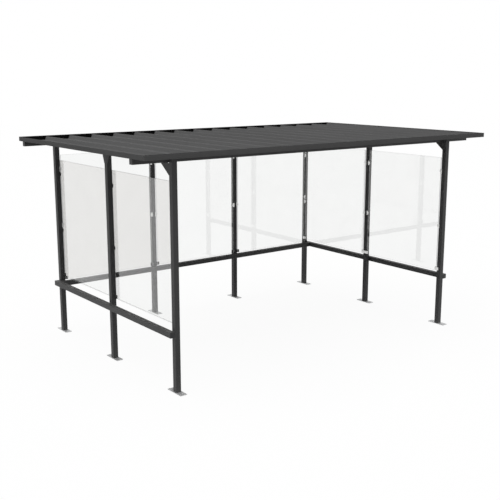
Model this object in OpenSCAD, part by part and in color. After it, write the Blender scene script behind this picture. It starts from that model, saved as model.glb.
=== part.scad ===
// Bicycle shelter: an open steel frame of square tubes with a level, ribbed sheet roof and
// clear glass on both ends and along the back. Its long front side is open.
// +X runs along the shelter, +Y towards its back and +Z up. The origin is on the floor, in the
// middle of the whole outline.

/* [Plan] */
// Length between the corner posts' centres
post_span_x = 4086; // [3000:1:6000]
// Depth between the front and back posts' centres
post_span_y = 2714; // [1800:1:3600]

/* [Frame tubes] */
// Width of every square tube
tube_w = 60; // [50:1:100]
// Wall of every square tube
tube_wall = 3; // [2:0.5:6]
// Outside corner radius of every square tube
tube_corner = 3; // [2:0.5:10]
// Height of the roof beams' underside above the floor
beam_underside = 2395; // [2000:1:2800]
// Height of the guard rails' underside above the floor
rail_underside = 606; // [400:1:640]
// Thickness of the end caps' heads
cap_t = 4; // [2:0.5:8]
// Depth of the end caps' plugs inside the tube
cap_plug = 16; // [8:1:40]
// Room between a cap's plug and the tube's inner wall
cap_clearance = 0.3; // [0.1:0.1:1]

/* [Gussets] */
// Thickness of the gusset plates
gusset_t = 6; // [4:1:12]
// Length of a front gusset along the beams
front_gusset_run = 167; // [80:1:220]
// Height of a front gusset along its post
front_gusset_drop = 129; // [80:1:300]
// Clipped inner corner of a front gusset
front_gusset_clip = 25; // [5:1:30]
// Length of a middle gusset along the end beam
mid_gusset_run = 50; // [30:1:120]
// Height of a middle gusset along its post
mid_gusset_drop = 125; // [60:1:300]
// Clipped inner corner of a middle gusset
mid_gusset_clip = 10; // [5:1:15]
// Blunt end of a gusset's two legs
gusset_nose = 8; // [4:1:14]

/* [Base plates] */
// Width of a base plate along the shelter
plate_x = 80; // [70:1:160]
// Length of a base plate from front to back
plate_y = 250; // [180:1:400]
// Thickness of a base plate
plate_t = 8; // [5:1:20]
// Distance between a plate's two anchor holes
anchor_spacing = 190; // [120:1:320]
// Diameter of the anchor holes
anchor_hole_d = 14; // [9:1:22]

/* [Roof] */
// Roof edge beyond the corner posts' centres, at each end
side_overhang = 454; // [100:1:800]
// Roof edge beyond the front posts' centres
front_overhang = 231.5; // [60:0.5:600]
// Room between the back posts and the back fascia
back_fascia_gap = 2; // [0.5:0.5:500]
// Height of the fascias above the beams' top
fascia_h = 50; // [30:1:120]
// Thickness of the folded fascias
fascia_t = 2; // [1:0.5:4]
// Width of the fold under the sheet
fascia_lip = 12; // [6:1:30]
// Room between the beams' ends and the fold
beam_end_gap = 3; // [1:1:40]
// Distance from rib to rib
rib_pitch = 309; // [150:1:400]
// Width of a rib's flat top
rib_top = 26; // [15:1:100]
// Width of a rib at its foot
rib_foot = 56; // [30:1:140]
// Drop of the rib tops below the fascias' top edge
rib_below_edge = 10; // [2:0.5:20]
// Thickness of the roof sheet
sheet_t = 1; // [0.5:0.1:2]
// Depth of the foam fillers on the sheet's front and back ends
filler_depth = 30; // [10:1:60]
// Drop of the fillers' top below the fascias' top edge
filler_below_edge = 0.5; // [0:0.5:1.5]

/* [Glass] */
// Thickness of the panes
glass_t = 8; // [4:1:12]
// Gap between the rails' top and the end panes
side_glass_above_rail = 51; // [5:1:200]
// Gap between the end panes and the beams' underside
side_glass_below_beam = 197; // [10:1:500]
// Gap between the rails' top and the back panes
back_glass_above_rail = 10; // [5:1:200]
// Gap between the back panes and the beams' underside
back_glass_below_beam = 133; // [10:1:500]

/* [Clamps] */
// Height of a round-ended clamp
clamp_h = 60; // [40:1:60]
// Reach of a round-ended clamp's plate over its post
clamp_on_post = 11; // [4:1:24]
// Reach of a round-ended clamp into its bay
clamp_reach = 24; // [20:1:50]
// Height of a lowest, square clamp
low_clamp_h = 40; // [24:1:40]
// Reach of a lowest clamp into its bay
low_clamp_reach = 34; // [20:1:60]
// Room between two lowest clamps on one post
low_clamp_gap = 2; // [1:1:10]
// Rounding of the lowest clamps' corners
low_clamp_corner = 4; // [1:0.5:8]
// Thickness of the plates on the posts' inner faces
clamp_plate_t = 5; // [3:1:9]
// Thickness of the jaws on the panes' outer faces
clamp_jaw_t = 10; // [4:1:20]
// Room between a pane's edge and the clamps of the next wall
clamp_clearance = 7; // [1:0.5:8]
// Centre of the end walls' lowest clamps above the panes' lower edge
side_clamp_low = 24; // [20:1:300]
// Centre of the end walls' middle clamps above the panes' lower edge
side_clamp_mid = 596; // [300:1:900]
// Centre of the back wall's lowest clamps above the panes' lower edge
back_clamp_low = 21; // [20:1:300]
// Centre of the back wall's middle clamps above the panes' lower edge
back_clamp_mid = 708; // [300:1:900]
// Centre of the highest clamps below the panes' upper edge
clamp_high = 175; // [30:1:400]

/* [Hidden] */

paint = "#4b4d50";
galvanised = "#b9bcbe";
plastic = "#1d1e20";
foam = "#141415";
clear = [0.80, 0.88, 0.90, 0.35];

// Roof edge beyond the back posts' centres
back_overhang = tube_w/2 + back_fascia_gap + fascia_t;

// The outline reaches from the roof's front edge to the roof or the feet at the back.
front_reach = post_span_y/2 + front_overhang;
back_reach = post_span_y/2 + max(back_overhang, plate_y/2);
origin_shift = (front_reach - back_reach)/2;

// Post centres
x_end = post_span_x/2;
x_inner = post_span_x/6;
y_front = origin_shift - post_span_y/2;
y_mid = origin_shift;
y_back = origin_shift + post_span_y/2;

// The front and back beams lie against the posts' inner faces.
beam_y_front = y_front + tube_w;
beam_y_back = y_back - tube_w;
beam_top = beam_underside + tube_w;

// Outside of the roof
roof_x = x_end + side_overhang;
roof_y0 = y_front - front_overhang;
roof_y1 = y_back + back_overhang;
beam_end = roof_x - fascia_t - fascia_lip - beam_end_gap;

// Clear width of one glazed bay, and the room beside each pane
side_bay = post_span_y/2 - tube_w;
back_bay = post_span_x/3 - tube_w;
glass_gap = clamp_plate_t + clamp_clearance;

// Edges of the panes above the floor
rail_top = rail_underside + tube_w;
side_glass_bottom = rail_top + side_glass_above_rail;
side_glass_top = beam_underside - side_glass_below_beam;
back_glass_bottom = rail_top + back_glass_above_rail;
back_glass_top = beam_underside - back_glass_below_beam;

// Centres of the clamps above the floor
side_clamps = [side_glass_bottom + side_clamp_mid, side_glass_top - clamp_high];
back_clamps = [back_glass_bottom + back_clamp_mid, back_glass_top - clamp_high];
side_low_clamp = side_glass_bottom + side_clamp_low;
back_low_clamp = back_glass_bottom + back_clamp_low;

// ---- Square tubes ----

module rounded_rect(w, h, r) {
    square([w - 2*r, h], center = true);
    square([w, h - 2*r], center = true);
    for (sx = [-1, 1], sy = [-1, 1])
        translate([sx*(w/2 - r), sy*(h/2 - r)]) circle(r = r, $fn = 32);
}

module rounded_square(w, r) rounded_rect(w, w, r);

// A hollow tube standing on its end
module tube(len) {
    linear_extrude(len) difference() {
        rounded_square(tube_w, tube_corner);
        rounded_square(tube_w - 2*tube_wall, max(tube_corner - tube_wall, 1));
    }
}

module tube_along_x(len) rotate([0, 90, 0]) translate([0, 0, -len/2]) tube(len);

module tube_along_y(len) rotate([90, 0, 0]) translate([0, 0, -len/2]) tube(len);

// An end cap whose head faces +Z, with its plug below
module end_cap() {
    plug_w = tube_w - 2*tube_wall - 2*cap_clearance;
    color(plastic) {
        linear_extrude(cap_t) rounded_square(tube_w, tube_corner);
        translate([0, 0, -cap_plug]) linear_extrude(cap_plug) difference() {
            rounded_square(plug_w, max(tube_corner - tube_wall, 1));
            rounded_square(plug_w - 6, 1);
        }
    }
}

module end_caps_x(len) {
    for (side = [-1, 1])
        translate([side*(len/2 - cap_t), 0, 0]) rotate([0, side*90, 0]) end_cap();
}

module end_caps_y(len) {
    for (side = [-1, 1])
        translate([0, side*(len/2 - cap_t), 0]) rotate([-side*90, 0, 0]) end_cap();
}

// ---- Posts on their base plates ----

module post(x, y, top) {
    color(paint) translate([x, y, plate_t]) tube(top - plate_t);
}

module foot(x, y) {
    color(galvanised) translate([x, y, 0]) difference() {
        translate([-plate_x/2, -plate_y/2, 0]) cube([plate_x, plate_y, plate_t]);
        for (side = [-1, 1])
            translate([0, side*anchor_spacing/2, -1])
                cylinder(h = plate_t + 2, d = anchor_hole_d, $fn = 48);
    }
}

module post_front_left() post(-x_end, y_front, beam_top);
module post_front_right() post(x_end, y_front, beam_top);
module post_mid_left() post(-x_end, y_mid, beam_underside);
module post_mid_right() post(x_end, y_mid, beam_underside);
module post_back_left() post(-x_end, y_back, beam_top);
module post_back_inner_left() post(-x_inner, y_back, beam_top);
module post_back_inner_right() post(x_inner, y_back, beam_top);
module post_back_right() post(x_end, y_back, beam_top);

module foot_front_left() foot(-x_end, y_front);
module foot_front_right() foot(x_end, y_front);
module foot_mid_left() foot(-x_end, y_mid);
module foot_mid_right() foot(x_end, y_mid);
module foot_back_left() foot(-x_end, y_back);
module foot_back_inner_left() foot(-x_inner, y_back);
module foot_back_inner_right() foot(x_inner, y_back);
module foot_back_right() foot(x_end, y_back);

// ---- Roof beams and gussets ----

module long_beam(y) {
    color(paint) translate([0, y, beam_underside + tube_w/2])
        tube_along_x(2*(beam_end - cap_t));
}

// The end beams reach from one long beam to the other, over the middle posts.
module end_beam(x) {
    color(paint) translate([x, (beam_y_front + beam_y_back)/2, beam_underside + tube_w/2])
        tube_along_y(beam_y_back - beam_y_front - tube_w);
}

module beam_front() long_beam(beam_y_front);
module beam_back() long_beam(beam_y_back);
module beam_left() end_beam(-x_end);
module beam_right() end_beam(x_end);

module beam_caps() {
    for (y = [beam_y_front, beam_y_back])
        translate([0, y, beam_underside + tube_w/2]) end_caps_x(2*beam_end);
}

// A plate in a post's corner under the beams, seen from the shelter's end: the post's face is
// at x = 0, the beams' underside at y = 0, and the plate lies on the tubes' outer flats.
module gusset(run, drop, clip) {
    color(paint) linear_extrude(gusset_t) polygon([
        [clip, 0], [run, 0], [run, -gusset_nose], [gusset_nose, -drop], [0, -drop], [0, -clip]
    ]);
}

// Stands the drawing plane up on the right end's outer flats, its +X towards the back.
module gusset_place(y) {
    translate([x_end + tube_w/2 - tube_corner - gusset_t, y, beam_underside])
        rotate([90, 0, 90]) children();
}

module end_gussets() {
    gusset_place(y_front + tube_w/2)
        gusset(front_gusset_run, front_gusset_drop, front_gusset_clip);
    gusset_place(y_mid + tube_w/2)
        gusset(mid_gusset_run, mid_gusset_drop, mid_gusset_clip);
    gusset_place(y_mid - tube_w/2)
        mirror([1, 0, 0]) gusset(mid_gusset_run, mid_gusset_drop, mid_gusset_clip);
}

module gusset_left() mirror([1, 0, 0]) end_gussets();
module gusset_right() end_gussets();

// ---- Guard rails: outside the end posts, and inside the back posts ----

rail_z = rail_underside + tube_w/2;
side_rail_len = post_span_y + tube_w;
back_rail_len = post_span_x + tube_w;

module side_rail(side) {
    color(paint) translate([side*(x_end + tube_w), y_mid, rail_z])
        tube_along_y(side_rail_len - 2*cap_t);
}

module rail_left() side_rail(-1);
module rail_right() side_rail(1);

module rail_back() {
    color(paint) translate([0, y_back - tube_w, rail_z])
        tube_along_x(back_rail_len - 2*cap_t);
}

module rail_caps() {
    for (side = [-1, 1])
        translate([side*(x_end + tube_w), y_mid, rail_z]) end_caps_y(side_rail_len);
    translate([0, y_back - tube_w, rail_z]) end_caps_x(back_rail_len);
}

// ---- Roof sheet and fascias ----

rib_rise = fascia_h - rib_below_edge - sheet_t;
rib_count = ceil(roof_x/rib_pitch) + 1;

// The sheet's lower line across one rib that starts at x: foot, top, top, foot
function rib_points(x) = let (flank = (rib_foot - rib_top)/2) [
    [x - flank, 0], [x, rib_rise], [x + rib_top, rib_rise], [x + rib_top + flank, 0]
];

function sheet_line(lift) = [
    for (i = [-rib_count : rib_count], p = rib_points(i*rib_pitch)) [p[0], p[1] + lift]
];

function reversed(list) = [for (i = [len(list) - 1 : -1 : 0]) list[i]];

// Keeps what lies between the four fascias, from y0 to y1 and above the beams.
module between_fascias(y0, y1) {
    intersection() {
        children();
        translate([-roof_x + fascia_t, y0, beam_top - 1])
            cube([2*(roof_x - fascia_t), y1 - y0, fascia_h + 2]);
    }
}

// Ribs run from front to back, and the sheet ends against the four fascias.
module roof_sheet() {
    color(paint) between_fascias(roof_y0 + fascia_t, roof_y1 - fascia_t)
        translate([0, roof_y1, beam_top]) rotate([90, 0, 0])
            linear_extrude(roof_y1 - roof_y0)
                polygon(concat(sheet_line(0), reversed(sheet_line(sheet_t))));
}

// A foam strip that fills the troughs and lies over the ribs, its front face at y
module filler(y) {
    end = rib_count*rib_pitch;
    top = fascia_h - filler_below_edge;
    color(foam) between_fascias(y, y + filler_depth)
        translate([0, y + filler_depth, beam_top]) rotate([90, 0, 0])
            linear_extrude(filler_depth)
                polygon(concat(sheet_line(sheet_t), [[end, top], [-end, top]]));
}

module fillers_front() filler(roof_y0 + fascia_t);
module fillers_back() filler(roof_y1 - fascia_t - filler_depth);

// A folded strip along +X, its outer face at y = 0 and its fold under the sheet
module fascia(len, lip_len) {
    color(paint) {
        translate([-len/2, 0, beam_top - fascia_t]) cube([len, fascia_t, fascia_h + fascia_t]);
        translate([-lip_len/2, 0, beam_top - fascia_t])
            cube([lip_len, fascia_t + fascia_lip, fascia_t]);
    }
}

module fascia_front() translate([0, roof_y0, 0]) fascia(2*roof_x, 2*roof_x - 2*fascia_t);

// The back fascia stands clear of the post tops, so it has no fold.
module fascia_back() {
    color(paint) translate([-roof_x, roof_y1 - fascia_t, beam_top - fascia_t])
        cube([2*roof_x, fascia_t, fascia_h + fascia_t]);
}

module end_fascia() {
    len = roof_y1 - roof_y0 - 2*fascia_t;
    translate([-roof_x, 0, 0]) rotate([0, 0, -90]) fascia(len, len - 2*fascia_lip);
}

module fascia_left() translate([0, (roof_y0 + roof_y1)/2, 0]) end_fascia();

module fascia_right() translate([0, (roof_y0 + roof_y1)/2, 0]) mirror([1, 0, 0]) end_fascia();

// ---- Glazed bays: local +X along the wall, +Y outwards, posts' inner faces at y = 0 ----

module pane(clear_w, bottom, top) {
    w = clear_w - 2*glass_gap;
    color(clear) translate([-w/2, 0, bottom]) cube([w, glass_t, top - bottom]);
}

// The outline of a round-ended clamp from x = start, its round end over the bay
module round_ended(start) {
    middle = clamp_reach - clamp_h/2;
    if (middle > start) translate([start, -clamp_h/2]) square([middle - start, clamp_h]);
    intersection() {
        translate([middle, 0]) circle(d = clamp_h, $fn = 64);
        translate([start, -clamp_h/2]) square([clamp_reach - start, clamp_h]);
    }
}

// The outline of a lowest clamp from x = start
module square_ended(start) {
    translate([(start + low_clamp_reach)/2, 0])
        rounded_rect(low_clamp_reach - start, low_clamp_h, low_clamp_corner);
}

// The inner half of a clamp at a bay's left post: its plate, and a web of height h in the gap
// beside the pane
module inner_half(h) {
    rotate([90, 0, 0]) linear_extrude(clamp_plate_t) children();
    translate([0, 0, -h/2]) cube([glass_gap, glass_t, h]);
}

// The outer half: a jaw on the pane's outer face, beside the post
module outer_half() {
    translate([0, glass_t + clamp_jaw_t, 0]) rotate([90, 0, 0])
        linear_extrude(clamp_jaw_t) children();
}

module round_inner_half() inner_half(clamp_h/2) round_ended(-clamp_on_post);
module round_outer_half() outer_half() round_ended(0);

module low_inner_half() {
    inner_half(low_clamp_h - 2*low_clamp_corner) square_ended((low_clamp_gap - tube_w)/2);
}

module low_outer_half() outer_half() square_ended(0);

// Puts a clamp at each height on both sides of a bay.
module on_both_sides(clear_w, heights) {
    for (z = heights, flip = [0, 1])
        mirror([flip, 0, 0]) translate([-clear_w/2, 0, z]) children();
}

// Places a bay in an end wall (side = -1 or 1) or in the back wall.
module side_bay_place(side, bay) {
    translate([side*(x_end - tube_w/2), y_mid + bay*post_span_y/4, 0]) rotate([0, 0, -side*90])
        children();
}

module back_bay_place(bay) {
    translate([bay*post_span_x/3, y_back - tube_w/2, 0]) children();
}

module side_pane() pane(side_bay, side_glass_bottom, side_glass_top);
module back_pane() pane(back_bay, back_glass_bottom, back_glass_top);

module glass_left_front() side_bay_place(-1, -1) side_pane();
module glass_left_back() side_bay_place(-1, 1) side_pane();
module glass_right_front() side_bay_place(1, -1) side_pane();
module glass_right_back() side_bay_place(1, 1) side_pane();
module glass_back_left() back_bay_place(-1) back_pane();
module glass_back_mid() back_bay_place(0) back_pane();
module glass_back_right() back_bay_place(1) back_pane();

module side_wall_clamps(side) {
    color(galvanised) for (bay = [-1, 1]) side_bay_place(side, bay) {
        on_both_sides(side_bay, side_clamps) round_inner_half();
        on_both_sides(side_bay, [side_low_clamp]) low_inner_half();
    }
}

module clamps_left() side_wall_clamps(-1);
module clamps_right() side_wall_clamps(1);

module clamps_back() {
    color(galvanised) for (bay = [-1, 0, 1]) back_bay_place(bay)
        on_both_sides(back_bay, back_clamps) round_inner_half();
}

// The outer halves of all clamps, and the back wall's lowest clamps in one piece
module clamps_painted() {
    color(paint) {
        for (side = [-1, 1], bay = [-1, 1]) side_bay_place(side, bay) {
            on_both_sides(side_bay, side_clamps) round_outer_half();
            on_both_sides(side_bay, [side_low_clamp]) low_outer_half();
        }
        for (bay = [-1, 0, 1]) back_bay_place(bay) {
            on_both_sides(back_bay, back_clamps) round_outer_half();
            on_both_sides(back_bay, [back_low_clamp]) {
                low_inner_half();
                low_outer_half();
            }
        }
    }
}

post_front_left();
post_mid_left();
post_back_left();
post_back_inner_left();
post_back_inner_right();
post_back_right();
post_mid_right();
post_front_right();
foot_front_left();
foot_mid_left();
foot_back_left();
foot_back_inner_left();
foot_back_inner_right();
foot_back_right();
foot_mid_right();
foot_front_right();
beam_front();
beam_back();
beam_left();
beam_right();
beam_caps();
gusset_left();
gusset_right();
rail_left();
rail_right();
rail_back();
rail_caps();
roof_sheet();
fillers_front();
fillers_back();
fascia_front();
fascia_back();
fascia_left();
fascia_right();
glass_left_front();
glass_left_back();
glass_back_left();
glass_back_mid();
glass_back_right();
glass_right_back();
glass_right_front();
clamps_left();
clamps_back();
clamps_right();
clamps_painted();
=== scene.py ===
import math

import bmesh
import bpy
from mathutils import Matrix, Vector


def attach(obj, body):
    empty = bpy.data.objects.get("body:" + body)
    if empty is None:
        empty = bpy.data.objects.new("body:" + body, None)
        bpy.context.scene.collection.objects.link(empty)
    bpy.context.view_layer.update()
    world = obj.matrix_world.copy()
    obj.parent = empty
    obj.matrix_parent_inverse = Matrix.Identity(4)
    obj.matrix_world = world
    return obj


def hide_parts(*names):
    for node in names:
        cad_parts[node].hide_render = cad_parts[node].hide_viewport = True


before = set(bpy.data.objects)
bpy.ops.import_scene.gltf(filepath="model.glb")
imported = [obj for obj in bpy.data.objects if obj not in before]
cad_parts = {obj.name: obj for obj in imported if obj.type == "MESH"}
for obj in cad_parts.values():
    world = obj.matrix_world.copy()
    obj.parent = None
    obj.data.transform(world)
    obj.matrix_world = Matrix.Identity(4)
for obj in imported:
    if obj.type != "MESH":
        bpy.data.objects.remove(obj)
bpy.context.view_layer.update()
bpy.ops.object.select_all(action="DESELECT")

# ---- Camera ----
# It stands in front of the shelter's left end, a little above the roof, so that both ends,
# the open front and the top of the roof show.
camera_place = (-6.4235, -8.32105, 3.2571)
camera_tilt, camera_turn = math.radians(78.055), math.radians(-37.233)
camera_lens, camera_sensor = 60.30, 36

scene = bpy.context.scene
scene.view_settings.view_transform = "Standard"
camera_data = bpy.data.cameras.new("camera")
camera_data.sensor_width = camera_sensor
camera_data.lens = camera_lens
camera = bpy.data.objects.new("camera", camera_data)
scene.collection.objects.link(camera)
camera.location = camera_place
camera.rotation_euler = (camera_tilt, 0, camera_turn)
scene.camera = camera

# ---- Studio ----
# A plain white studio: an even sky, one broad soft lamp above the left end, and a pale
# floor. The eye, mirrors and glass meet white, which is a little duller through two panes,
# and the light that falls on the object is weaker.
sky_level = 0.18
lamp_level = 2.0
lamp_spread = math.radians(70)
lamp_from = Vector((-0.22, -0.06, 0.97))
floor_size = 90
floor_glow = 0.95
floor_seen_pale = 0.06
floor_pale = 0.45
pure_white = (1, 1, 1, 1)
duller_white = (0.88, 0.863, 0.853, 1)
faces_before_two_panes = 3


def seen_directly(tree):
    """1 for rays of the eye, of mirrors and of glass, and 0 for those that light a surface."""
    path = tree.nodes.new("ShaderNodeLightPath")
    seen = path.outputs["Is Camera Ray"]
    for kind in ("Is Glossy Ray", "Is Transmission Ray"):
        either = tree.nodes.new("ShaderNodeMath")
        either.operation = "MAXIMUM"
        tree.links.new(seen, either.inputs[0])
        tree.links.new(path.outputs[kind], either.inputs[1])
        seen = either.outputs[0]
    return seen


def white_through_panes(tree):
    """Pure white, and the duller one for rays that have crossed the faces of two panes."""
    path = tree.nodes.new("ShaderNodeLightPath")
    beyond = tree.nodes.new("ShaderNodeMath")
    beyond.operation = "GREATER_THAN"
    beyond.inputs[1].default_value = faces_before_two_panes
    white = tree.nodes.new("ShaderNodeMix")
    white.data_type = "RGBA"
    white.inputs["A"].default_value = pure_white
    white.inputs["B"].default_value = duller_white
    tree.links.new(path.outputs["Transmission Depth"], beyond.inputs[0])
    tree.links.new(beyond.outputs[0], white.inputs["Factor"])
    return white.outputs["Result"]


world = bpy.data.worlds.new("white_studio")
scene.world = world
world.use_nodes = True
sky = world.node_tree
sky_light = sky.nodes["Background"]
sky_light.inputs["Color"].default_value = pure_white
sky_light.inputs["Strength"].default_value = sky_level
sky_white = sky.nodes.new("ShaderNodeBackground")
sky_white.inputs["Strength"].default_value = 1
sky.links.new(white_through_panes(sky), sky_white.inputs["Color"])
sky_mix = sky.nodes.new("ShaderNodeMixShader")
sky.links.new(seen_directly(sky), sky_mix.inputs["Fac"])
sky.links.new(sky_light.outputs[0], sky_mix.inputs[1])
sky.links.new(sky_white.outputs[0], sky_mix.inputs[2])
sky.links.new(sky_mix.outputs[0], sky.nodes["World Output"].inputs["Surface"])

lamp_data = bpy.data.lights.new("soft_lamp", "SUN")
lamp_data.energy = lamp_level
lamp_data.angle = lamp_spread
lamp = bpy.data.objects.new("soft_lamp", lamp_data)
scene.collection.objects.link(lamp)
lamp.rotation_euler = lamp_from.to_track_quat("Z", "Y").to_euler()

bpy.ops.mesh.primitive_plane_add(size=floor_size, location=(0, 0, 0))
floor = bpy.context.object
floor.name = "studio_floor"
floor_paint = bpy.data.materials.new("studio_floor")
floor_paint.use_nodes = True
tree = floor_paint.node_tree
tree.nodes.clear()
lit = tree.nodes.new("ShaderNodeBsdfDiffuse")
lit.inputs["Color"].default_value = (floor_pale, floor_pale, floor_pale, 1)
seen_lit = tree.nodes.new("ShaderNodeBsdfDiffuse")
seen_lit.inputs["Color"].default_value = (floor_seen_pale, floor_seen_pale, floor_seen_pale, 1)
glow = tree.nodes.new("ShaderNodeEmission")
glow.inputs["Strength"].default_value = floor_glow
tree.links.new(white_through_panes(tree), glow.inputs["Color"])
seen_floor = tree.nodes.new("ShaderNodeAddShader")
tree.links.new(seen_lit.outputs[0], seen_floor.inputs[0])
tree.links.new(glow.outputs[0], seen_floor.inputs[1])
floor_mix = tree.nodes.new("ShaderNodeMixShader")
tree.links.new(seen_directly(tree), floor_mix.inputs["Fac"])
tree.links.new(lit.outputs[0], floor_mix.inputs[1])
tree.links.new(seen_floor.outputs[0], floor_mix.inputs[2])
floor_out = tree.nodes.new("ShaderNodeOutputMaterial")
tree.links.new(floor_mix.outputs[0], floor_out.inputs["Surface"])
floor.data.materials.append(floor_paint)

# ---- Frame: posts, roof beams, guard rails and gussets ----
# Square steel tube and plate, welded up and powder-coated in a satin anthracite. The coat has
# a fine orange peel, drifts slightly in tone and holds a little dust near the floor, and its
# upward faces are a lighter tone.
frame_colour = (0.064, 0.064, 0.065)
frame_peel = 620
dust_colour = (0.30, 0.29, 0.27)
upward_face_colour = (0.092, 0.091, 0.090)
dust_reach = 0.22
puffs_per_metre = 25
noise_low, noise_high = 0.3, 0.7


def new_group(name, inputs, outputs):
    """An empty shader node group with these named sockets, and its two end nodes."""
    group = bpy.data.node_groups.new(name, "ShaderNodeTree")
    for label, kind, value in inputs:
        socket = group.interface.new_socket(name=label, in_out="INPUT", socket_type=kind)
        if value is not None:
            socket.default_value = value
    for label, kind in outputs:
        group.interface.new_socket(name=label, in_out="OUTPUT", socket_type=kind)
    return group, group.nodes.new("NodeGroupInput"), group.nodes.new("NodeGroupOutput")


# Tone drift: a colour made darker and lighter in soft patches
tone_drift, drift_in, drift_out = new_group(
    "tone_drift",
    [("Place", "NodeSocketVector", None), ("Colour", "NodeSocketColor", None),
     ("Patches per metre", "NodeSocketFloat", 2.0), ("Amount", "NodeSocketFloat", 0.05)],
    [("Colour", "NodeSocketColor")])
patches = tone_drift.nodes.new("ShaderNodeTexNoise")
patches.inputs["Detail"].default_value = 3
low_end = tone_drift.nodes.new("ShaderNodeMath")
low_end.operation = "SUBTRACT"
low_end.inputs[0].default_value = 1
high_end = tone_drift.nodes.new("ShaderNodeMath")
high_end.inputs[0].default_value = 1
spread = tone_drift.nodes.new("ShaderNodeMapRange")
spread.inputs["From Min"].default_value = noise_low
spread.inputs["From Max"].default_value = noise_high
tinted = tone_drift.nodes.new("ShaderNodeVectorMath")
tinted.operation = "SCALE"
tone_drift.links.new(drift_in.outputs["Place"], patches.inputs["Vector"])
tone_drift.links.new(drift_in.outputs["Patches per metre"], patches.inputs["Scale"])
tone_drift.links.new(drift_in.outputs["Amount"], low_end.inputs[1])
tone_drift.links.new(drift_in.outputs["Amount"], high_end.inputs[1])
tone_drift.links.new(patches.outputs["Fac"], spread.inputs["Value"])
tone_drift.links.new(low_end.outputs[0], spread.inputs["To Min"])
tone_drift.links.new(high_end.outputs[0], spread.inputs["To Max"])
tone_drift.links.new(drift_in.outputs["Colour"], tinted.inputs[0])
tone_drift.links.new(spread.outputs["Result"], tinted.inputs["Scale"])
tone_drift.links.new(tinted.outputs[0], drift_out.inputs["Colour"])

# Fine grain: a small even noise, as a roughness between two values and as a height
fine_grain, grain_in, grain_out = new_group(
    "fine_grain",
    [("Place", "NodeSocketVector", None), ("Grains per metre", "NodeSocketFloat", 500.0),
     ("Low", "NodeSocketFloat", 0.4), ("High", "NodeSocketFloat", 0.5)],
    [("Roughness", "NodeSocketFloat"), ("Height", "NodeSocketFloat")])
grains = fine_grain.nodes.new("ShaderNodeTexNoise")
grains.inputs["Detail"].default_value = 2
between = fine_grain.nodes.new("ShaderNodeMapRange")
between.inputs["From Min"].default_value = noise_low
between.inputs["From Max"].default_value = noise_high
fine_grain.links.new(grain_in.outputs["Place"], grains.inputs["Vector"])
fine_grain.links.new(grain_in.outputs["Grains per metre"], grains.inputs["Scale"])
fine_grain.links.new(grains.outputs["Fac"], between.inputs["Value"])
fine_grain.links.new(grain_in.outputs["Low"], between.inputs["To Min"])
fine_grain.links.new(grain_in.outputs["High"], between.inputs["To Max"])
fine_grain.links.new(between.outputs["Result"], grain_out.inputs["Roughness"])
fine_grain.links.new(grains.outputs["Fac"], grain_out.inputs["Height"])

# Floor dust: a patchy mask that is strongest at the floor and ends at a given height
floor_dust, dust_in, dust_out = new_group(
    "floor_dust",
    [("Place", "NodeSocketVector", None), ("Reach", "NodeSocketFloat", 0.2),
     ("Strength", "NodeSocketFloat", 0.3)],
    [("Mask", "NodeSocketFloat")])
split = floor_dust.nodes.new("ShaderNodeSeparateXYZ")
rising = floor_dust.nodes.new("ShaderNodeMapRange")
rising.interpolation_type = "SMOOTHSTEP"
rising.inputs["To Min"].default_value = 1
rising.inputs["To Max"].default_value = 0
puffs = floor_dust.nodes.new("ShaderNodeTexNoise")
puffs.inputs["Scale"].default_value = puffs_per_metre
puffs.inputs["Detail"].default_value = 4
patchy = floor_dust.nodes.new("ShaderNodeMath")
patchy.operation = "MULTIPLY"
weaker = floor_dust.nodes.new("ShaderNodeMath")
weaker.operation = "MULTIPLY"
floor_dust.links.new(dust_in.outputs["Place"], split.inputs[0])
floor_dust.links.new(split.outputs["Z"], rising.inputs["Value"])
floor_dust.links.new(dust_in.outputs["Reach"], rising.inputs["From Max"])
floor_dust.links.new(dust_in.outputs["Place"], puffs.inputs["Vector"])
floor_dust.links.new(rising.outputs["Result"], patchy.inputs[0])
floor_dust.links.new(puffs.outputs["Fac"], patchy.inputs[1])
floor_dust.links.new(patchy.outputs[0], weaker.inputs[0])
floor_dust.links.new(dust_in.outputs["Strength"], weaker.inputs[1])
floor_dust.links.new(weaker.outputs[0], dust_out.inputs["Mask"])

# Facing up: 1 on level upward faces and 0 on upright ones
facing_up, up_in, up_out = new_group(
    "facing_up", [("From", "NodeSocketFloat", 0.4), ("To", "NodeSocketFloat", 0.95)],
    [("Mask", "NodeSocketFloat")])
surface = facing_up.nodes.new("ShaderNodeNewGeometry")
lean = facing_up.nodes.new("ShaderNodeSeparateXYZ")
level = facing_up.nodes.new("ShaderNodeMapRange")
facing_up.links.new(surface.outputs["True Normal"], lean.inputs[0])
facing_up.links.new(lean.outputs["Z"], level.inputs["Value"])
facing_up.links.new(up_in.outputs["From"], level.inputs["From Min"])
facing_up.links.new(up_in.outputs["To"], level.inputs["From Max"])
facing_up.links.new(level.outputs["Result"], up_out.inputs["Mask"])


def new_finish(name):
    """A material with its Principled shader, and the piece's own coordinates."""
    finish = bpy.data.materials.new(name)
    finish.use_nodes = True
    shader = finish.node_tree.nodes["Principled BSDF"]
    place = finish.node_tree.nodes.new("ShaderNodeTexCoord").outputs["Object"]
    return finish, finish.node_tree, shader, place


def use_group(tree, group, place, **values):
    """Puts a node group into a material, with its own values."""
    node = tree.nodes.new("ShaderNodeGroup")
    node.node_tree = group
    if place:
        tree.links.new(place, node.inputs["Place"])
    for label, value in values.items():
        node.inputs[label.replace("_", " ")].default_value = value
    return node


def bump_to(tree, shader, height, strength, distance):
    """Relief from a height socket."""
    bump = tree.nodes.new("ShaderNodeBump")
    bump.inputs["Strength"].default_value = strength
    bump.inputs["Distance"].default_value = distance
    tree.links.new(height, bump.inputs["Height"])
    tree.links.new(bump.outputs["Normal"], shader.inputs["Normal"])


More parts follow.
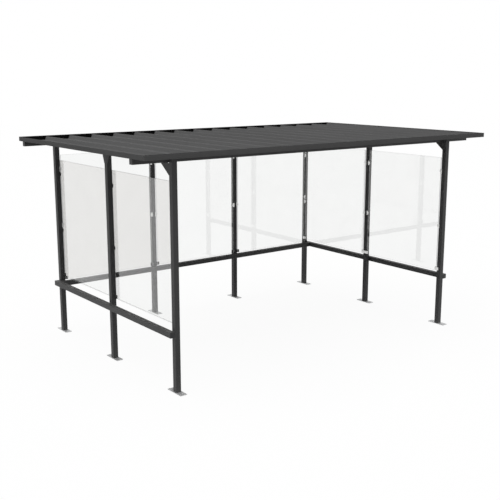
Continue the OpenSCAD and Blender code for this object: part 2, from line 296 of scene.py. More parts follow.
def blend_colours(tree, mask, below, above):
    """A mix of two colours by a mask. Each is a socket or three numbers."""
    mix = tree.nodes.new("ShaderNodeMix")
    mix.data_type = "RGBA"
    tree.links.new(mask, mix.inputs["Factor"])
    for socket, colour in ((mix.inputs["A"], below), (mix.inputs["B"], above)):
        if isinstance(colour, tuple):
            socket.default_value = (*colour, 1)
        else:
            tree.links.new(colour, socket)
    return mix.outputs["Result"]


def dress(names, finish):
    """Gives CAD nodes their finish."""
    for name in names:
        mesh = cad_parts[name].data
        mesh.materials.clear()
        mesh.materials.append(finish)


frame_coat, tree, shader, place = new_finish("frame_powder_coat")
wide = use_group(tree, tone_drift, place, Colour=(*frame_colour, 1), Patches_per_metre=1.4,
                 Amount=0.05)
close = use_group(tree, tone_drift, place, Patches_per_metre=45, Amount=0.04)
tree.links.new(wide.outputs["Colour"], close.inputs["Colour"])
dust = use_group(tree, floor_dust, place, Reach=dust_reach, Strength=0.12)
dusty = blend_colours(tree, dust.outputs["Mask"], close.outputs["Colour"], dust_colour)
# Upward faces take a lighter tone of the coat, evenly, by their normal alone.
upward_faces = use_group(tree, facing_up, None)
tree.links.new(blend_colours(tree, upward_faces.outputs["Mask"], dusty, upward_face_colour),
               shader.inputs["Base Color"])
peel = use_group(tree, fine_grain, place, Grains_per_metre=frame_peel, Low=0.50, High=0.60)
tree.links.new(peel.outputs["Roughness"], shader.inputs["Roughness"])
shader.inputs["Specular IOR Level"].default_value = 0.36
bump_to(tree, shader, peel.outputs["Height"], strength=0.12, distance=0.0004)

dress([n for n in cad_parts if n.startswith(("post_", "beam_", "rail_", "gusset_"))
       and not n.endswith("_caps")], frame_coat)

# ---- Weld beads ----
# Fillets of weld metal where the tubes and plates meet. Each is laid in short overlapping
# ripples, and coated together with the frame.
bead_radius = 0.0032
bead_ripple = 0.0045
bead_dip, bead_tip = 0.82, 0.35
tube = 0.060
tube_corner = 0.003
post_x, inner_x = 2.043, 0.681
front_y, mid_y, back_y = -1.30375, 0.05325, 1.41025
plate_top = 0.008
beam_low = 2.395
front_beam_y, back_beam_y = front_y + tube, back_y - tube
rail_mid = 0.636
gusset_thick = 0.006
front_gusset = (0.167, 0.129, 0.025)
mid_gusset = (0.050, 0.125, 0.010)
hair = 0.0001
soft_angle = math.radians(32)


def edit(part):
    """Opens a part in edit mode, on its own."""
    bpy.ops.object.select_all(action="DESELECT")
    part.select_set(True)
    bpy.context.view_layer.objects.active = part
    bpy.ops.object.mode_set(mode="EDIT")


def done():
    """Leaves edit mode."""
    bpy.ops.object.mode_set(mode="OBJECT")


def pick(kind, rule):
    """In edit mode, selects the FACE, EDGE or VERT items for which the rule is true."""
    bpy.ops.mesh.select_mode(type=kind)
    bpy.ops.mesh.select_all(action="DESELECT")
    mesh = bpy.context.object.data
    shape = bmesh.from_edit_mesh(mesh)
    items = {"FACE": shape.faces, "EDGE": shape.edges, "VERT": shape.verts}[kind]
    for item in items:
        if rule(item):
            item.select_set(True)
    shape.select_flush_mode()
    bmesh.update_edit_mesh(mesh)


def set_out(part, name, places):
    """One piece made of copies of a part, one at each place. The part itself goes."""
    bpy.ops.object.select_all(action="DESELECT")
    for place in places:
        twin = part.copy()
        twin.data = part.data.copy()
        scene.collection.objects.link(twin)
        twin.data.transform(place)
        if place.determinant() < 0:
            twin.data.flip_normals()
        twin.select_set(True)
        bpy.context.view_layer.objects.active = twin
    bpy.data.objects.remove(part)
    if len(places) > 1:
        bpy.ops.object.join()
    piece = bpy.context.view_layer.objects.active
    piece.name = piece.data.name = name
    return piece


def join(name, parts):
    """Several parts as one piece."""
    bpy.ops.object.select_all(action="DESELECT")
    for part in parts:
        part.select_set(True)
    bpy.context.view_layer.objects.active = parts[0]
    bpy.ops.object.join()
    parts[0].name = parts[0].data.name = name
    return parts[0]


def fit(piece, finish, slot, *stands_for):
    """Gives a finished piece its material, soft shading and its body, and hides the nodes it
    stands for.
    """
    piece.data.materials.clear()
    piece.data.materials.append(finish)
    bpy.ops.object.select_all(action="DESELECT")
    piece.select_set(True)
    bpy.context.view_layer.objects.active = piece
    bpy.ops.object.shade_smooth_by_angle(angle=soft_angle)
    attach(piece, "root")
    if stands_for:
        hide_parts(*stands_for)


def swept_bead(part, closed):
    """Turns a part's line of vertices into a rippled bead."""
    bpy.ops.object.convert(target="CURVE")
    line = part.data.splines[0].points
    for i, point in enumerate(line):
        at_end = not closed and i in (0, len(line) - 1)
        point.radius = bead_tip if at_end else 1.0 if i % 2 else bead_dip
    part.data.fill_mode = "FULL"
    part.data.bevel_depth = bead_radius
    part.data.bevel_resolution = 1
    part.data.use_fill_caps = True
    bpy.ops.object.convert(target="MESH")
    edit(bpy.context.object)
    bpy.ops.mesh.select_all(action="SELECT")
    bpy.ops.mesh.remove_doubles(threshold=hair/10)
    bpy.ops.mesh.normals_make_consistent(inside=False)
    done()
    return bpy.context.object


def straight_bead(length):
    """A bead along X, centred on the origin."""
    bpy.ops.mesh.primitive_plane_add(size=1, location=(0, 0, 0))
    part = bpy.context.object
    edit(part)
    bpy.ops.transform.resize(value=(length, 0, 1))
    bpy.ops.mesh.remove_doubles(threshold=hair)
    bpy.ops.mesh.select_all(action="SELECT")
    bpy.ops.mesh.subdivide(number_cuts=2*round(length/bead_ripple/2))
    done()
    return swept_bead(part, False)


def ring_bead():
    """A closed bead round a tube's end, in the XY plane."""
    bpy.ops.mesh.primitive_plane_add(size=tube, location=(0, 0, 0))
    part = bpy.context.object
    edit(part)
    bpy.ops.mesh.bevel(offset=tube_corner, segments=2, affect="VERTICES")
    bpy.ops.mesh.select_all(action="SELECT")
    bpy.ops.mesh.delete(type="ONLY_FACE")
    pick("EDGE", lambda e: e.calc_length() > tube/2)
    bpy.ops.mesh.subdivide(number_cuts=2*round((tube - 2*tube_corner)/bead_ripple/2) + 1)
    done()
    return swept_bead(part, True)


def at(x, y, z, turn=Matrix()):
    """The matrix that puts a part at a place, turned about it."""
    return Matrix.Translation((x, y, z)) @ turn.to_4x4()


quarter = math.radians(90)
faces_y = Matrix.Rotation(quarter, 4, "X")
along_y = Matrix.Rotation(quarter, 4, "Z")
upright = Matrix.Rotation(quarter, 4, "Y")

foot_places = [(x, y) for x in (-post_x, post_x) for y in (front_y, mid_y, back_y)]
foot_places += [(-inner_x, back_y), (inner_x, back_y)]
feet_welds = set_out(ring_bead(), "welds_feet", [at(x, y, plate_top) for x, y in foot_places])
fit(feet_welds, frame_coat, "painted_steel")

# The end beams are welded to the long beams and onto the middle posts, and the posts to the
# long beams at the sides and below.
ring_places = [at(x, mid_y, beam_low) for x in (-post_x, post_x)]
ring_places += [at(x, y, beam_low + tube/2, faces_y) for x in (-post_x, post_x)
                for y in (front_beam_y + tube/2, back_beam_y - tube/2)]
top_rings = set_out(ring_bead(), "rings", ring_places)
joint_places = []
for x, y, side in ([(x, front_y, 1) for x in (-post_x, post_x)]
                   + [(x, back_y, -1) for x in (-post_x, -inner_x, inner_x, post_x)]):
    seam_y = y + side*tube/2
    joint_places.append(at(x, seam_y, beam_low))
    joint_places += [at(x + end*tube/2, seam_y, beam_low + tube/2, upright)
                     for end in (-1, 1)]
joint_beads = set_out(straight_bead(tube - 2*tube_corner), "joints", joint_places)

# The gussets are welded along the beam and along the post, up to their clipped corner.
gusset_x = post_x + tube/2 - tube_corner - gusset_thick/2
gusset_beads = []
for start, (run, drop, clip), way in ((front_y + tube/2, front_gusset, 1),
                                      (mid_y + tube/2, mid_gusset, 1),
                                      (mid_y - tube/2, mid_gusset, -1)):
    gusset_beads.append(set_out(
        straight_bead(run - clip), "runs",
        [at(x, start + way*(run + clip)/2, beam_low, along_y) for x in (-gusset_x, gusset_x)]))
    gusset_beads.append(set_out(
        straight_bead(drop - clip), "drops",
        [at(x, start, beam_low - (drop + clip)/2, upright) for x in (-gusset_x, gusset_x)]))
fit(join("welds_roof_frame", [top_rings, joint_beads] + gusset_beads), frame_coat,
    "painted_steel")

# The guard rails are welded to the posts along their upper and lower edges.
rail_places = [at(side*(post_x + tube/2), y, rail_mid + edge*tube/2, along_y)
               for side in (-1, 1) for y in (front_y, mid_y, back_y) for edge in (-1, 1)]
rail_places += [at(x, back_y - tube/2, rail_mid + edge*tube/2)
                for x in (-post_x, -inner_x, inner_x, post_x) for edge in (-1, 1)]
fit(set_out(straight_bead(tube - 2*tube_corner), "welds_rails", rail_places), frame_coat,
    "painted_steel")

# ---- Base plates ----
# Flat bars of hot-dip galvanised steel under the posts, with a hole at each end for an anchor.
# The zinc is a pale, clouded grey with faint crystals.
zinc_dark = (0.54, 0.543, 0.546)
zinc_light = (0.64, 0.643, 0.647)
zinc_smoothest, zinc_roughest = 0.50, 0.68
crystals_per_metre = 130

zinc_coat, tree, shader, place = new_finish("dull_zinc")
crystals = tree.nodes.new("ShaderNodeTexVoronoi")
crystals.inputs["Scale"].default_value = crystals_per_metre
tree.links.new(place, crystals.inputs["Vector"])
facets = tree.nodes.new("ShaderNodeSeparateColor")
tree.links.new(crystals.outputs["Color"], facets.inputs[0])
spangle = blend_colours(tree, facets.outputs["Red"], zinc_dark, zinc_light)
cloudy = use_group(tree, tone_drift, place, Patches_per_metre=14, Amount=0.10)
tree.links.new(spangle, cloudy.inputs["Colour"])
tree.links.new(cloudy.outputs["Colour"], shader.inputs["Base Color"])
zinc_rough = tree.nodes.new("ShaderNodeMapRange")
zinc_rough.inputs["To Min"].default_value = zinc_smoothest
zinc_rough.inputs["To Max"].default_value = zinc_roughest
tree.links.new(facets.outputs["Green"], zinc_rough.inputs["Value"])
tree.links.new(zinc_rough.outputs["Result"], shader.inputs["Roughness"])
shader.inputs["Metallic"].default_value = 0.85
bump_to(tree, shader, facets.outputs["Blue"], strength=0.1, distance=0.0003)
dress([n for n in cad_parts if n.startswith("foot_")], zinc_coat)

# ---- Roof sheet and fascias ----
# Coated steel sheet, folded into narrow ribs that run from front to back, with folded strips
# round its four edges. Rain leaves faint streaks. The ribs' flanks are painted paler than the
# level parts, as painted light that evens out the shade they stand in.
level_colour = (0.118, 0.118, 0.1185)
# Painted light: the flanks' colour is paler than the level parts' to even out their shade.
flank_painted_light_colour = (0.163, 0.163, 0.1635)
fascia_colour = (0.140, 0.140, 0.1405)
streak_stretch = (14, 0.5, 14)


def coated_sheet(name, colour, steep_painted_light_colour=None):
    """Matt coated sheet with soft streaks from front to back. Where a paler steep colour is
    given, steep faces take it as painted light that evens out their shade."""
    finish, tree, shader, place = new_finish(name)
    wide = use_group(tree, tone_drift, place, Colour=(*colour, 1), Patches_per_metre=1.1,
                     Amount=0.03)
    along = tree.nodes.new("ShaderNodeMapping")
    along.inputs["Scale"].default_value = streak_stretch
    tree.links.new(place, along.inputs["Vector"])
    streaks = use_group(tree, tone_drift, along.outputs[0], Patches_per_metre=1.0,
                        Amount=0.03)
    tree.links.new(wide.outputs["Colour"], streaks.inputs["Colour"])
    tree.links.new(streaks.outputs["Colour"], shader.inputs["Base Color"])
    peel = use_group(tree, fine_grain, place, Grains_per_metre=800, Low=0.80, High=0.90)
    tree.links.new(peel.outputs["Roughness"], shader.inputs["Roughness"])
    shader.inputs["Specular IOR Level"].default_value = 0.10
    bump_to(tree, shader, peel.outputs["Height"], strength=0.1, distance=0.0003)
    # Painted light: steep faces take the paler colour, which evens out the shade they stand
    # in.
    if steep_painted_light_colour:
        steep_painted_light = use_group(tree, facing_up, None)
        tree.links.new(blend_colours(tree, steep_painted_light.outputs["Mask"], steep_painted_light_colour, colour),
                       wide.inputs["Colour"])
    return finish


fascia_coat = coated_sheet("fascia_coat", fascia_colour)
roof_coat = coated_sheet("roof_coat", level_colour, flank_painted_light_colour)

# The sheet is one folded period, repeated from end to end and cut to length.
sheet_low = 2.455
sheet_thick = 0.001
rib_pitch, rib_top, rib_flank, rib_rise = 0.309, 0.026, 0.015, 0.039
rib_bend = 0.004
least_fold = math.radians(30)
roof_half, roof_front, roof_back = 2.497, -1.53525, 1.44425
strip_thick = 0.002
sheet_half = roof_half - strip_thick
sheet_front, sheet_back = roof_front + strip_thick, roof_back - strip_thick
ribs_each_side = 9

valley = rib_pitch - rib_top - 2*rib_flank
bpy.ops.mesh.primitive_plane_add(size=1, location=(0, 0, 0))
roof = bpy.context.object
edit(roof)
bpy.ops.transform.resize(value=(valley, sheet_back - sheet_front, 1))
bpy.ops.transform.translate(value=(
    valley/2 + rib_top + rib_flank - ribs_each_side*rib_pitch, (sheet_front + sheet_back)/2,
    sheet_low))
for run, rise in ((rib_flank, rib_rise), (rib_top, 0), (rib_flank, -rib_rise)):
    shape = bmesh.from_edit_mesh(roof.data)
    far_x = max(v.co.x for v in shape.verts)
    pick("EDGE", lambda e: all(v.co.x > far_x - hair for v in e.verts))
    bpy.ops.mesh.extrude_edges_move(TRANSFORM_OT_translate={"value": (run, 0, rise)})
done()
repeat = roof.modifiers.new("ribs", "ARRAY")
repeat.count = 2*ribs_each_side
repeat.use_relative_offset = False
repeat.use_constant_offset = True
repeat.constant_offset_displace = (rib_pitch, 0, 0)
repeat.use_merge_vertices = True
repeat.merge_threshold = hair/2
bpy.ops.object.modifier_apply(modifier="ribs")
edit(roof)
pick("EDGE", lambda e: len(e.link_faces) == 2
     and e.link_faces[0].normal.angle(e.link_faces[1].normal) > least_fold)
bpy.ops.mesh.bevel(offset=rib_bend, segments=3, affect="EDGES")
for end in (-1, 1):
    bpy.ops.mesh.select_all(action="SELECT")
    bpy.ops.mesh.bisect(plane_co=(end*sheet_half, 0, 0), plane_no=(end, 0, 0),
                        clear_outer=True)
done()
wall = roof.modifiers.new("wall", "SOLIDIFY")
wall.thickness = sheet_thick
wall.offset = 1
bpy.ops.object.modifier_apply(modifier="wall")
roof.name = roof.data.name = "formed_sheet"
fit(roof, roof_coat, "roof_steel", "roof_sheet")

# The fascias are folded strips, and all but the back one turn in under the sheet.
strip_high = 0.052
strip_lip = 0.012
strip_bend = 0.003


def folded_strip(name, length, lip, place, stands_for):
    """A strip that runs along X and faces -Y, with its fold of another length below. It is
    then turned and placed."""
    bpy.ops.mesh.primitive_plane_add(size=1, location=(0, 0, 0))
    strip = bpy.context.object
    strip.data.transform(faces_y)
    edit(strip)
    bpy.ops.transform.resize(value=(length, 1, strip_high))
    bpy.ops.transform.translate(value=(0, 0, strip_high/2))
    if lip:
        pick("EDGE", lambda e: all(v.co.z < hair for v in e.verts))
        bpy.ops.mesh.extrude_edges_move(
            TRANSFORM_OT_translate={"value": (0, strip_thick + strip_lip, 0)})
        pick("VERT", lambda v: v.co.y > strip_lip)
        bpy.ops.transform.resize(value=(lip/length, 1, 1), center_override=(0, 0, 0))
        pick("EDGE", lambda e: len(e.link_faces) == 2)
        bpy.ops.mesh.bevel(offset=strip_bend, segments=4, affect="EDGES")
    bpy.ops.mesh.select_all(action="SELECT")
    bpy.ops.mesh.normals_make_consistent(inside=False)
    done()
    wall = strip.modifiers.new("wall", "SOLIDIFY")
    wall.thickness = strip_thick
    wall.offset = -1
    bpy.ops.object.modifier_apply(modifier="wall")
    strip.data.transform(place)
    strip.name = strip.data.name = name
    fit(strip, fascia_coat, "roof_steel", stands_for)


strip_low = sheet_low - strip_thick
roof_mid = (roof_front + roof_back)/2
depth = sheet_back - sheet_front
half_turn = Matrix.Rotation(2*quarter, 4, "Z")
quarter_back = Matrix.Rotation(-quarter, 4, "Z")
folded_strip("strip_front", 2*roof_half, 2*sheet_half, at(0, roof_front, strip_low),
             "fascia_front")
folded_strip("strip_back", 2*roof_half, 0, at(0, roof_back, strip_low, half_turn),
             "fascia_back")
folded_strip("strip_left", depth, depth - 2*strip_lip,
             at(-roof_half, roof_mid, strip_low, quarter_back), "fascia_left")
folded_strip("strip_right", depth, depth - 2*strip_lip,
             at(roof_half, roof_mid, strip_low, along_y), "fascia_right")

# ---- Roof screws ----
# Hexagon screws hold the sheet's valleys down to the front and back beams. Each has a wide
# flange over a rubber washer, and its head is coated like the sheet.
flange_radius, flange_high, flange_ease = 0.0065, 0.0012, 0.0005
washer_radius, washer_high, washer_ease = 0.0080, 0.0020, 0.0006
head_radius, head_high, head_ease = 0.0046, 0.0045, 0.0007
hexagon, rounded = 6, 16
screwed_each_side = 8
rubber_colour = (0.020, 0.020, 0.020)


def turned_step(radius, low, high, sides, ease):
    """A round or hexagonal step with its upper edge eased."""
    bpy.ops.mesh.primitive_cylinder_add(vertices=sides, radius=radius, depth=high - low,
                                        location=(0, 0, (low + high)/2))
    step = bpy.context.object
    bpy.ops.object.transform_apply(location=True)
    edit(step)
    pick("EDGE", lambda e: all(v.co.z > high - hair for v in e.verts))
    bpy.ops.mesh.bevel(offset=ease, segments=2, affect="EDGES")
    done()
    return step


flange_top = washer_high + flange_high
screw = join("screw", [
    turned_step(flange_radius, washer_high, flange_top, rounded, flange_ease),
    turned_step(head_radius, flange_top, flange_top + head_high, hexagon, head_ease)])
valley_places = [at((i + 0.5)*rib_pitch + rib_top/2, y, sheet_low + sheet_thick)
                 for i in range(-screwed_each_side, screwed_each_side)
                 for y in (front_beam_y, back_beam_y)]
fit(set_out(screw, "roof_screws", valley_places), roof_coat, "roof_steel")

rubber, tree, shader, place = new_finish("black_rubber")
soot = use_group(tree, tone_drift, place, Colour=(*rubber_colour, 1), Patches_per_metre=80,
                 Amount=0.15)
tree.links.new(soot.outputs["Colour"], shader.inputs["Base Color"])
matt = use_group(tree, fine_grain, place, Grains_per_metre=1200, Low=0.75, High=0.90)
tree.links.new(matt.outputs["Roughness"], shader.inputs["Roughness"])
bump_to(tree, shader, matt.outputs["Height"], strength=0.2, distance=0.0002)
fit(set_out(turned_step(washer_radius, 0, washer_high, rounded, washer_ease),
            "roof_washers", valley_places), rubber, "black_plastic")

# ---- Foam fillers ----
# Strips of black closed-cell foam that close the sheet's front and back ends. Their cut
# faces are pitted with small cells.
cells_per_metre = 420
foam_dark, foam_light = (0.003, 0.003, 0.003), (0.010, 0.010, 0.010)

foam_coat, tree, shader, place = new_finish("closed_cell_foam")
cells = tree.nodes.new("ShaderNodeTexVoronoi")
cells.inputs["Scale"].default_value = cells_per_metre
tree.links.new(place, cells.inputs["Vector"])
tree.links.new(blend_colours(tree, cells.outputs["Distance"], foam_dark, foam_light),
               shader.inputs["Base Color"])
shader.inputs["Roughness"].default_value = 0.95
shader.inputs["Specular IOR Level"].default_value = 0.1
bump_to(tree, shader, cells.outputs["Distance"], strength=0.6, distance=0.001)
dress(["fillers_front", "fillers_back"], foam_coat)

# ---- End caps ----
# Black moulded plastic plugs, pushed into the open ends of the roof beams and the guard
# rails. Their faces have a fine spark grain.
plastic_colour = (0.016, 0.016, 0.017)

cap_coat, tree, shader, place = new_finish("black_plastic")
grain = use_group(tree, fine_grain, place, Grains_per_metre=1500, Low=0.45, High=0.60)
deep = use_group(tree, tone_drift, place, Colour=(*plastic_colour, 1), Patches_per_metre=60,
                 Amount=0.12)
tree.links.new(deep.outputs["Colour"], shader.inputs["Base Color"])
tree.links.new(grain.outputs["Roughness"], shader.inputs["Roughness"])
bump_to(tree, shader, grain.outputs["Height"], strength=0.25, distance=0.0002)
dress(["beam_caps", "rail_caps"], cap_coat)

# ---- Panes ----
# Clear toughened glass, 8 mm thick, that clamps hold at its upright edges. Its edges are
# ground and eased.
glass_tint = (0.92, 0.925, 0.92)
glass_shade = (0.9, 0.905, 0.9, 1)
edge_colour = (0.95, 0.97, 0.96)
pane_thick = 0.008
pane_ease = 0.0007
pane_gap = 0.012
side_glass = (0.717, 2.198)
back_glass = (0.676, 2.262)
side_clear, back_clear = 1.297, 1.302

pane_glass, tree, shader, place = new_finish("pane_glass")
shader.inputs["Roughness"].default_value = 0
shader.inputs["IOR"].default_value = 1.64
shader.inputs["Transmission Weight"].default_value = 1
smears = use_group(tree, tone_drift, place, Colour=(*glass_tint, 1), Patches_per_metre=3,
                   Amount=0.01)
tree.links.new(smears.outputs["Colour"], shader.inputs["Base Color"])

# The light of the lamp and the sky passes straight through, a little weaker.
path = tree.nodes.new("ShaderNodeLightPath")
let_through = tree.nodes.new("ShaderNodeBsdfTransparent")
let_through.inputs["Color"].default_value = glass_shade
past_lamp = tree.nodes.new("ShaderNodeMixShader")
past_sky = tree.nodes.new("ShaderNodeMixShader")
tree.links.new(path.outputs["Is Diffuse Ray"], past_sky.inputs["Fac"])
tree.links.new(shader.outputs[0], past_sky.inputs[1])
tree.links.new(let_through.outputs[0], past_sky.inputs[2])
tree.links.new(path.outputs["Is Shadow Ray"], past_lamp.inputs["Fac"])
tree.links.new(past_sky.outputs[0], past_lamp.inputs[1])
tree.links.new(let_through.outputs[0], past_lamp.inputs[2])
tree.links.new(past_lamp.outputs[0], tree.nodes["Material Output"].inputs["Surface"])

ground_edge, tree, shader, place = new_finish("ground_glass_edge")
pale = use_group(tree, tone_drift, place, Colour=(*edge_colour, 1), Patches_per_metre=30,
                 Amount=0.03)
tree.links.new(pale.outputs["Colour"], shader.inputs["Base Color"])
ground = use_group(tree, fine_grain, place, Grains_per_metre=2500, Low=0.35, High=0.50)
tree.links.new(ground.outputs["Roughness"], shader.inputs["Roughness"])
bump_to(tree, shader, ground.outputs["Height"], strength=0.1, distance=0.0001)


def pane(name, clear_width, low, high, place, stands_for):
    """A pane in a bay. In the bay, X runs along the wall and Y outwards, and the posts' inner
    faces are at y = 0."""
    bpy.ops.mesh.primitive_plane_add(size=1, location=(0, 0, 0))
    sheet = bpy.context.object
    sheet.data.transform(faces_y)
    edit(sheet)
    bpy.ops.transform.resize(value=(clear_width - 2*pane_gap, 1, high - low))
    bpy.ops.transform.translate(value=(0, 0, (low + high)/2))
    bpy.ops.mesh.extrude_region_move(TRANSFORM_OT_translate={"value": (0, pane_thick, 0)})
    bpy.ops.mesh.select_all(action="SELECT")
    bpy.ops.mesh.normals_make_consistent(inside=False)
    bpy.ops.mesh.bevel(offset=pane_ease, segments=1, affect="EDGES")
    done()
    sheet.data.transform(place)
    sheet.name = sheet.data.name = name
    fit(sheet, pane_glass, "clear_glass", stands_for)
    sheet.data.materials.append(ground_edge)
    widest = max(face.area for face in sheet.data.polygons)
    for face in sheet.data.polygons:
        face.material_index = 0 if face.area > widest/2 else 1


side_bays = {(side, end): at(side*(post_x - tube/2), mid_y + end*(back_y - mid_y)/2, 0,
                             along_y if side < 0 else quarter_back)
             for side in (-1, 1) for end in (-1, 1)}
back_bays = {end: at(end*2*inner_x, back_y - tube/2, 0) for end in (-1, 0, 1)}
for (side, end), bay in side_bays.items():
    spot = ("left_" if side < 0 else "right_") + ("front" if end < 0 else "back")
    pane("pane_" + spot, side_clear, *side_glass, bay, "glass_" + spot)
for end, bay in back_bays.items():
    spot = "back_" + {-1: "left", 0: "mid", 1: "right"}[end]
    pane("pane_" + spot, back_clear, *back_glass, bay, "glass_" + spot)

# ---- Glass clamps ----
# Two halves that two socket screws pull together over rubber pads, with a web beside the
# pane. Inner halves are satin stainless steel. Outer halves, and the back wall's lowest
# clamps, are coated like the frame.
satin_colour = (0.80, 0.80, 0.79)
brush_stretch = (900, 900, 25)
clamp_radius, clamp_reach, clamp_sides = 0.030, 0.024, 56
low_high, low_reach, low_corner = 0.040, 0.034, 0.004
plate_start, low_start = -0.011, -0.029
plate_thick, jaw_thick, pad_thick = 0.004, 0.009, 0.001
plate_ease, jaw_ease = 0.001, 0.003
pad_proud = 0.0006
web_high, low_web_high, web_ease = 0.030, 0.032, 0.001
side_heights, side_low = (1.313, 2.023), 0.741
back_heights, back_low = (1.384, 2.087), 0.697

clamp_satin, tree, shader, place = new_finish("satin_stainless")
brush_line = tree.nodes.new("ShaderNodeMapping")
brush_line.inputs["Scale"].default_value = brush_stretch
tree.links.new(place, brush_line.inputs["Vector"])
brushed = use_group(tree, fine_grain, brush_line.outputs[0], Grains_per_metre=1.0, Low=0.28,
                    High=0.42)
tone = use_group(tree, tone_drift, brush_line.outputs[0], Colour=(*satin_colour, 1),
                 Patches_per_metre=1.0, Amount=0.06)
tree.links.new(tone.outputs["Colour"], shader.inputs["Base Color"])
tree.links.new(brushed.outputs["Roughness"], shader.inputs["Roughness"])
shader.inputs["Metallic"].default_value = 1
bump_to(tree, shader, brushed.outputs["Height"], strength=0.08, distance=0.0002)


def clamp_half(is_round, start, thick, ease, proud=0):
    """A clamp's half or pad, lying flat and this thick, with its upper rim eased. It starts
    this far along the bay and ends round or square."""
    if is_round:
        bpy.ops.mesh.primitive_circle_add(
            vertices=clamp_sides, radius=clamp_radius + proud, fill_type="NGON",
            location=(clamp_reach - clamp_radius, 0, 0))
        part = bpy.context.object
        bpy.ops.object.transform_apply(location=True)
        edit(part)
        bpy.ops.mesh.bisect(plane_co=(start, 0, 0), plane_no=(1, 0, 0), clear_inner=True)
    else:
        bpy.ops.mesh.primitive_plane_add(size=1, location=(0, 0, 0))
        part = bpy.context.object
        edit(part)
        bpy.ops.transform.resize(value=(low_reach - start + proud, low_high + 2*proud, 1))
        bpy.ops.transform.translate(value=((low_reach + start + proud)/2, 0, 0))
        bpy.ops.mesh.bevel(offset=low_corner, segments=4, affect="VERTICES")
    bpy.ops.mesh.select_all(action="SELECT")
    bpy.ops.mesh.extrude_region_move(TRANSFORM_OT_translate={"value": (0, 0, thick)})
    if ease:
        pick("EDGE", lambda e: all(v.co.z > thick - hair for v in e.verts))
        bpy.ops.mesh.bevel(offset=ease, segments=3, affect="EDGES")
    bpy.ops.mesh.select_all(action="SELECT")
    bpy.ops.mesh.normals_make_consistent(inside=False)
    done()
    return part


def clamp_web(high):
    """The web, lying flat, with its four upright edges eased."""
    bpy.ops.mesh.primitive_plane_add(size=1, location=(0, 0, 0))
    part = bpy.context.object
    edit(part)
    bpy.ops.transform.resize(value=(pane_gap, high, 1))
    bpy.ops.transform.translate(value=(pane_gap/2, 0, 0))
    bpy.ops.mesh.bevel(offset=web_ease, segments=2, affect="VERTICES")
    bpy.ops.mesh.select_all(action="SELECT")
    bpy.ops.mesh.extrude_region_move(
        TRANSFORM_OT_translate={"value": (0, 0, pane_thick + 2*pad_thick)})
    bpy.ops.mesh.select_all(action="SELECT")
    bpy.ops.mesh.normals_make_consistent(inside=False)
    done()
    return part


inwards = faces_y
outwards = Matrix.Rotation(-quarter, 4, "X")
outer_face = pane_thick + pad_thick


def beside_posts(bays, clear_width, heights, depth, facing):
    """Places at both sides of the bays, at a depth from the posts' inner faces."""
    return [bay @ Matrix.Diagonal((flip, 1, 1, 1)) @ at(-clear_width/2, depth, z, facing)
            for bay in bays for z in heights for flip in (1, -1)]


def wall_plates(name, bays, clear_width, heights, lows, stands_for):
    """The inner halves of one wall's clamps, with their webs."""
    parts = [set_out(clamp_half(True, plate_start, plate_thick, plate_ease), "plates",
                     beside_posts(bays, clear_width, heights, -pad_thick, inwards)),
             set_out(clamp_web(web_high), "webs",
                     beside_posts(bays, clear_width, heights, outer_face, inwards))]
    if lows:
        parts += [set_out(clamp_half(False, low_start, plate_thick, plate_ease), "plates",
                          beside_posts(bays, clear_width, lows, -pad_thick, inwards)),
                  set_out(clamp_web(low_web_high), "webs",
                          beside_posts(bays, clear_width, lows, outer_face, inwards))]
    fit(join(name, parts), clamp_satin, "clamp_metal", stands_for)


left_bays = [side_bays[-1, end] for end in (-1, 1)]
right_bays = [side_bays[1, end] for end in (-1, 1)]
both_bays = left_bays + right_bays
rear_bays = list(back_bays.values())
wall_plates("clamp_plates_left", left_bays, side_clear, side_heights, [side_low],
            "clamps_left")
wall_plates("clamp_plates_right", right_bays, side_clear, side_heights, [side_low],
            "clamps_right")
wall_plates("clamp_plates_back", rear_bays, back_clear, back_heights, [], "clamps_back")


def everywhere(depth, facing, low):
    """Places of all round clamps, or of all lowest ones."""
    if low:
        return (beside_posts(both_bays, side_clear, [side_low], depth, facing)
                + beside_posts(rear_bays, back_clear, [back_low], depth, facing))
    return (beside_posts(both_bays, side_clear, side_heights, depth, facing)
            + beside_posts(rear_bays, back_clear, back_heights, depth, facing))


jaws = [set_out(clamp_half(True, 0, jaw_thick, jaw_ease), "jaws",
                everywhere(outer_face, outwards, False)),
        set_out(clamp_half(False, 0, jaw_thick, jaw_ease), "low_jaws",
                everywhere(outer_face, outwards, True)),
        set_out(clamp_half(False, low_start, plate_thick, plate_ease), "low_plates",
                beside_posts(rear_bays, back_clear, [back_low], -pad_thick, inwards)),
        set_out(clamp_web(low_web_high), "low_webs",
                beside_posts(rear_bays, back_clear, [back_low], outer_face, inwards))]
fit(join("clamp_jaws", jaws), frame_coat, "painted_steel", "clamps_painted")

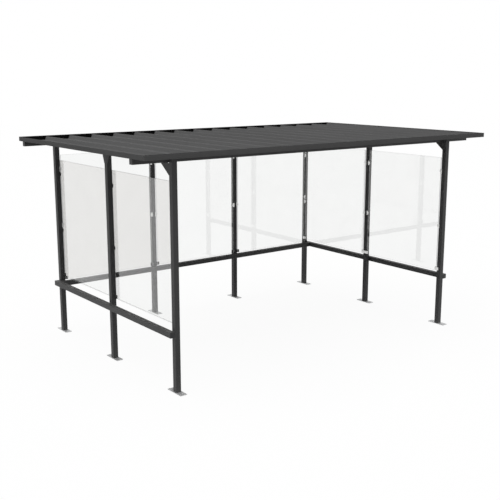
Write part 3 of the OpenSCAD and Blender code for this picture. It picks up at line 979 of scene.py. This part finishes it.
pads = [set_out(clamp_half(True, plate_start, pad_thick, 0, pad_proud), "pads",
                everywhere(0, inwards, False)),
        set_out(clamp_half(False, low_start, pad_thick, 0, pad_proud), "low_pads",
                everywhere(0, inwards, True)),
        set_out(clamp_half(True, pane_gap, pad_thick, 0, pad_proud), "outer_pads",
                everywhere(pane_thick, outwards, False)),
        set_out(clamp_half(False, pane_gap, pad_thick, 0, pad_proud), "low_outer_pads",
                everywhere(pane_thick, outwards, True))]
fit(join("clamp_pads", pads), rubber, "black_plastic")

# The screws have round button heads with a hexagon socket.
button_radius, button_high, button_sides = 0.0052, 0.0020, 24
button_steps = ((1, 0.0006), (0.94, 0.0007), (0.86, 0.0005), (0.80, 0.0002))
socket_radius, socket_deep = 0.0021, 0.0014
screw_offset = 0.009

bpy.ops.mesh.primitive_circle_add(vertices=button_sides, radius=button_radius,
                                  location=(0, 0, 0))
button = bpy.context.object
edit(button)
bpy.ops.mesh.select_all(action="SELECT")
for narrower, rise in button_steps:
    bpy.ops.mesh.extrude_edges_move(TRANSFORM_OT_translate={"value": (0, 0, rise)})
    bpy.ops.transform.resize(value=(narrower, narrower, 1))
bpy.ops.mesh.primitive_circle_add(vertices=hexagon, radius=socket_radius,
                                  location=(0, 0, button_high))
pick("EDGE", lambda e: all(v.co.z > button_high - hair for v in e.verts))
bpy.ops.mesh.bridge_edge_loops()
pick("EDGE", lambda e: e.is_boundary and all(v.co.z > button_high - hair for v in e.verts))
bpy.ops.mesh.extrude_edges_move(TRANSFORM_OT_translate={"value": (0, 0, -socket_deep)})
bpy.ops.mesh.edge_face_add()
pick("EDGE", lambda e: e.is_boundary)
bpy.ops.mesh.edge_face_add()
bpy.ops.mesh.select_all(action="SELECT")
bpy.ops.mesh.normals_make_consistent(inside=False)
done()
screw_depth = -pad_thick - plate_thick
screw_places = []
for bays, clear_width, heights in ((both_bays, side_clear, (*side_heights, side_low)),
                                   (rear_bays, back_clear, (*back_heights, back_low))):
    for offset in (-screw_offset, screw_offset):
        screw_places += [place @ at(pane_gap/2, 0, 0) for place in beside_posts(
            bays, clear_width, [z + offset for z in heights], screw_depth, inwards)]
fit(set_out(button, "clamp_screws", screw_places), clamp_satin, "clamp_metal")
